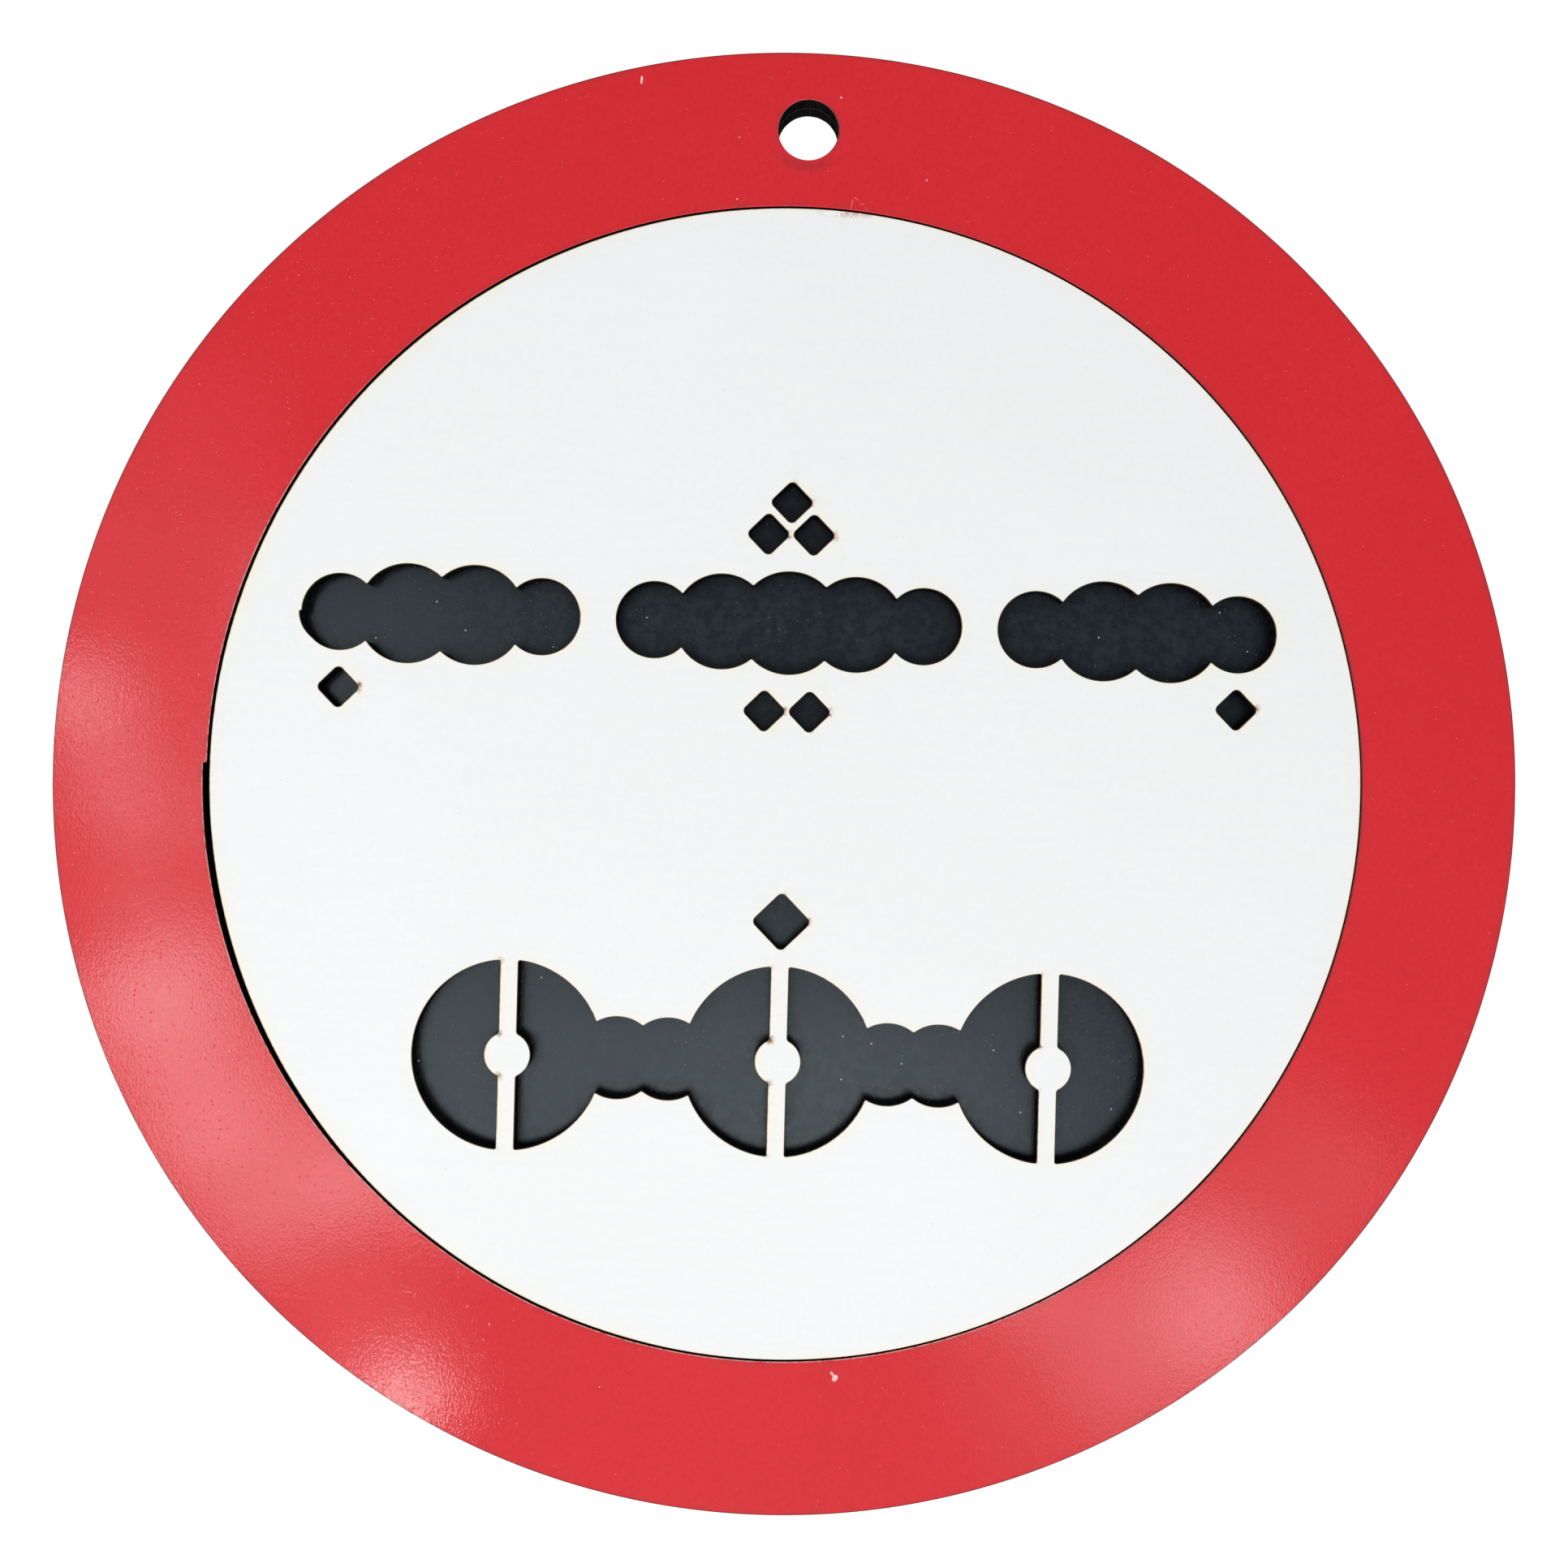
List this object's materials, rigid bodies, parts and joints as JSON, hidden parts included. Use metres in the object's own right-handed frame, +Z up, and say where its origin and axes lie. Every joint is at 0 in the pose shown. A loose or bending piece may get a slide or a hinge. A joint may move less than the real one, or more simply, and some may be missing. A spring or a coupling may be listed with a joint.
{
  "type": "prohibition sign",
  "caption": "Round hanging prohibition sign: dark backing board, red ring and white panel with stencil cut-outs glued on its face, and a hang hole through the ring.",
  "frame": {"origin": "where the axis of the hang hole meets the back face of the backing board; the centre of the disc lies 89.5 mm straight below", "axes": "the front faces -Y, +Z is up from the centre of the disc through the hang hole, and +X is to the right when seen from the front"},
  "size_m": [0.2, 0.006, 0.2],
  "materials": {
    "dark_faced_board": "dark slate-grey coat with a fine grain on thin fibreboard, raw brown at the back, edges charred by the laser",
    "red_faced_board": "smooth satin red coat on thin fibreboard, edges charred by the laser",
    "white_faced_board": "smooth satin white coat on thin fibreboard, yellowed round the laser cuts, edges charred"
  },
  "bodies": {
    "root": {"backing_board": "dark_faced_board", "border_ring": "red_faced_board", "face_panel": "white_faced_board"}
  },
  "joints": []
}
